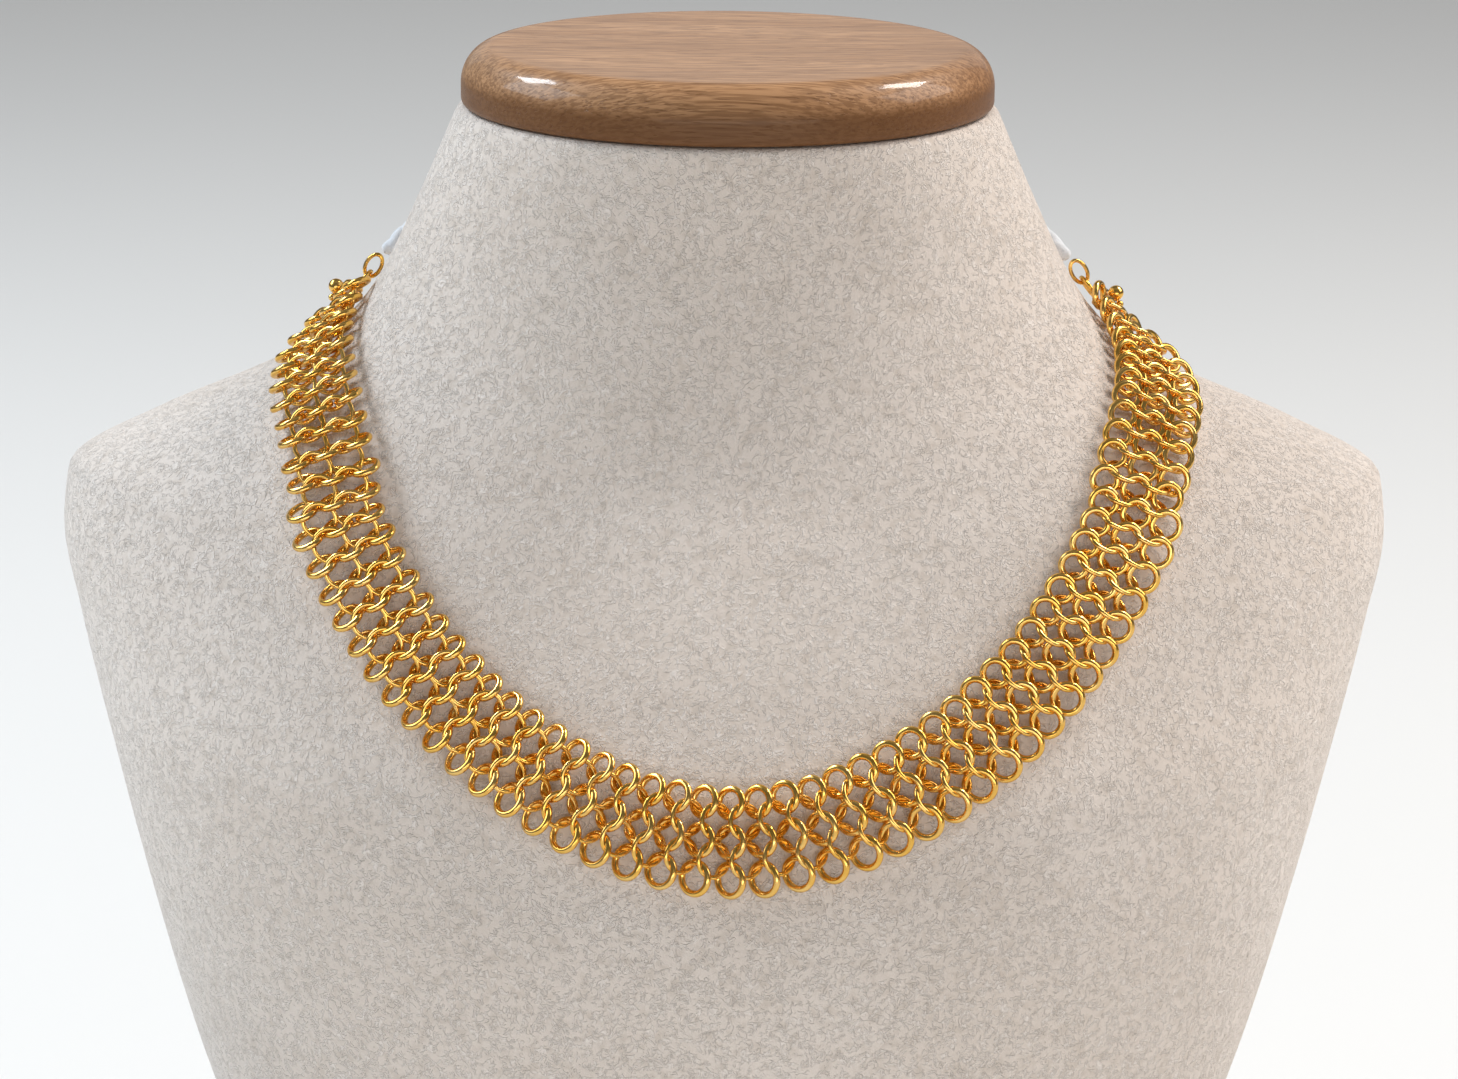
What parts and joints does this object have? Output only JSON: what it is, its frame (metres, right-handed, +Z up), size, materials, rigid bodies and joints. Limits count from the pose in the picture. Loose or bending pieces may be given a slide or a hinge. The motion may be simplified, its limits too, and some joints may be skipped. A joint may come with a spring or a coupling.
{
  "type": "collar choker necklace on a neck bust",
  "caption": "Flexible gold chain-mail collar necklace lying round a free-standing suede neck bust with a wooden cap, its ends joined by a white tie behind the neck.",
  "frame": {"origin": "centre of the bust's flat base, on the surface it stands on", "axes": "+Z up along the neck, -Y towards the front of the chest, +X towards the viewer's right"},
  "size_m": [0.26, 0.1545, 0.27],
  "materials": {
    "suede": "matte cream suede with a fine wrinkle",
    "wood": "clear gloss lacquer over straight-grained light brown wood",
    "gold": "polished yellow gold",
    "tie": "plain white cord"
  },
  "bodies": {
    "root": {"bust_form": "suede", "wood_cap": "wood", "mail_left_end": "gold", "mail_left_side": "gold", "mail_left_chest": "gold", "mail_front": "gold", "mail_right_chest": "gold", "mail_right_side": "gold", "mail_right_end": "gold", "end_ring_left": "gold", "end_ring_right": "gold", "end_link_left": "gold", "end_link_right": "gold", "ball_bead_left": "gold", "ball_bead_right": "gold", "small_bead_left": "gold", "small_bead_right": "gold", "neck_tie": "tie"}
  },
  "joints": []
}
